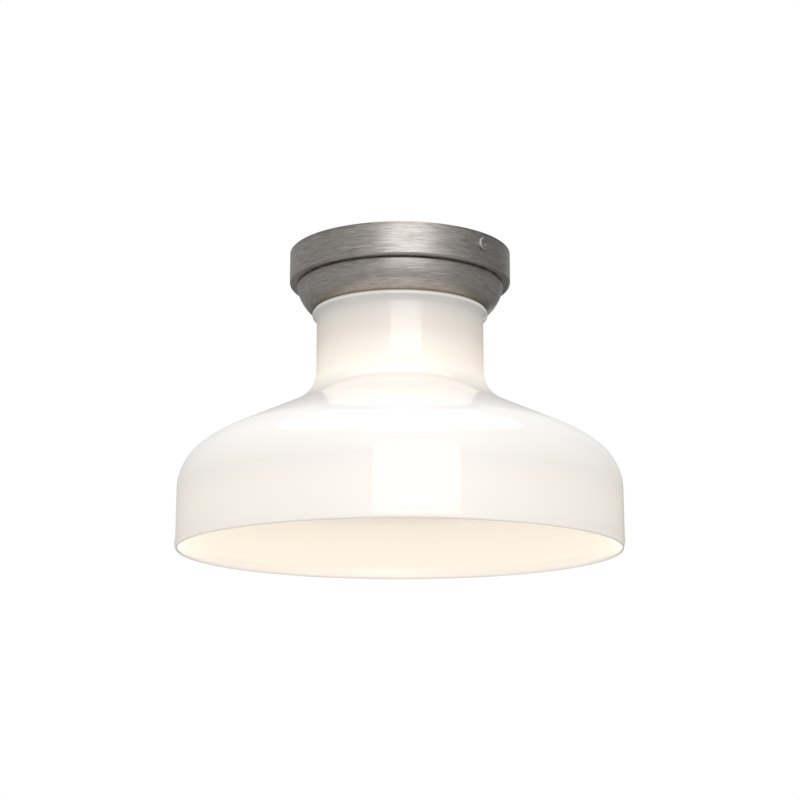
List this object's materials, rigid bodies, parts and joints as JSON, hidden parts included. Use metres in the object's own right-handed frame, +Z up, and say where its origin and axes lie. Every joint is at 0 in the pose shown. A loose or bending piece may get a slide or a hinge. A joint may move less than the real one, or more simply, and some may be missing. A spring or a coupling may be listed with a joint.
{
  "type": "flush mount ceiling light",
  "caption": "Flush mount ceiling light: a spun metal canopy and bowl-shaped holder carry a wide bell-shaped opal glass shade over a lamp bulb.",
  "frame": {"origin": "centre of the box-screw pattern on the mounting plate, in the plane of the ceiling", "axes": "+Z up out of the ceiling plane into the outlet box, the light hangs towards -Z; +X along the mounting plate towards one side screw"},
  "size_m": [0.305, 0.305, 0.2103],
  "materials": {
    "nickel": "brushed nickel, clear lacquered",
    "zinc_steel": "zinc plated",
    "green_steel": "green dyed",
    "porcelain": "glazed",
    "brass": "plain",
    "black_lead": "satin",
    "white_lead": "satin",
    "connector_plastic": "matte",
    "opal_glass": "glossy opal white",
    "gasket_rubber": "matte",
    "black_phenolic": "satin",
    "frosted_glass": "frosted",
    "aluminium": "plain"
  },
  "bodies": {
    "fixture": {"mounting_plate": "zinc_steel", "ground_screw": "green_steel", "canopy": "nickel", "shade_holder": "nickel", "nipple": "zinc_steel", "nipple_nut": "zinc_steel", "lock_washer": "zinc_steel", "lampholder_cap": "porcelain", "lampholder_body": "porcelain", "lampholder_screws": "zinc_steel", "screw_shell": "brass", "centre_contact": "brass", "terminal_plates": "brass", "terminal_screws": "brass", "line_lead": "black_lead", "neutral_lead": "white_lead", "line_connector": "connector_plastic", "neutral_connector": "connector_plastic"},
    "glass": {"shade": "opal_glass", "upper_gasket": "gasket_rubber", "lower_gasket": "gasket_rubber"},
    "ring": {"shade_ring": "black_phenolic"},
    "bulb_tip": {"bulb_contact": "brass"},
    "bulb": {"bulb_glass": "frosted_glass", "bulb_base": "aluminium", "bulb_insulator": "black_phenolic"},
    "washer_right": {"side_washer_right": "nickel"},
    "screw_right": {"side_screw_right": "nickel"},
    "washer_left": {"side_washer_left": "nickel"},
    "screw_left": {"side_screw_left": "nickel"}
  },
  "joints": [
    {"name": "shade_drop", "type": "slide", "parent": "fixture", "child": "glass", "axis": [0, 0, -1], "range_m": [0, 0.012]},
    {"name": "ring_turn", "type": "hinge", "parent": "glass", "child": "ring", "pos_m": [0, 0, -0.045], "axis": [0, 0, -1], "range_deg": [0, 1440.1]},
    {"name": "bulb_drop", "type": "slide", "parent": "fixture", "child": "bulb_tip", "axis": [0, 0, -1], "range_m": [0, 0.02177]},
    {"name": "bulb_turn", "type": "hinge", "parent": "bulb_tip", "child": "bulb", "pos_m": [0, 0, -0.055], "axis": [0, 0, -1], "range_deg": [0, 2160.1]},
    {"name": "side_screw_right_out", "type": "slide", "parent": "fixture", "child": "washer_right", "axis": [1, 0, 0], "range_m": [0, 0.006]},
    {"name": "side_screw_right_turn", "type": "hinge", "parent": "washer_right", "child": "screw_right", "pos_m": [0.0774, 0, -0.008], "axis": [1, 0, 0], "range_deg": [0, 3085.81]},
    {"name": "side_screw_left_out", "type": "slide", "parent": "fixture", "child": "washer_left", "axis": [-1, 0, 0], "range_m": [0, 0.006]},
    {"name": "side_screw_left_turn", "type": "hinge", "parent": "washer_left", "child": "screw_left", "pos_m": [-0.0774, 0, -0.008], "axis": [-1, 0, 0], "range_deg": [0, 3085.81]}
  ],
  "couplings": [
    {"joint": "ring_turn", "follows": "shade_drop", "rad_per_m": 2094.4},
    {"joint": "bulb_turn", "follows": "bulb_drop", "rad_per_m": 1731.6},
    {"joint": "side_screw_right_turn", "follows": "side_screw_right_out", "rad_per_m": 8976},
    {"joint": "side_screw_left_turn", "follows": "side_screw_left_out", "rad_per_m": 8976}
  ]
}
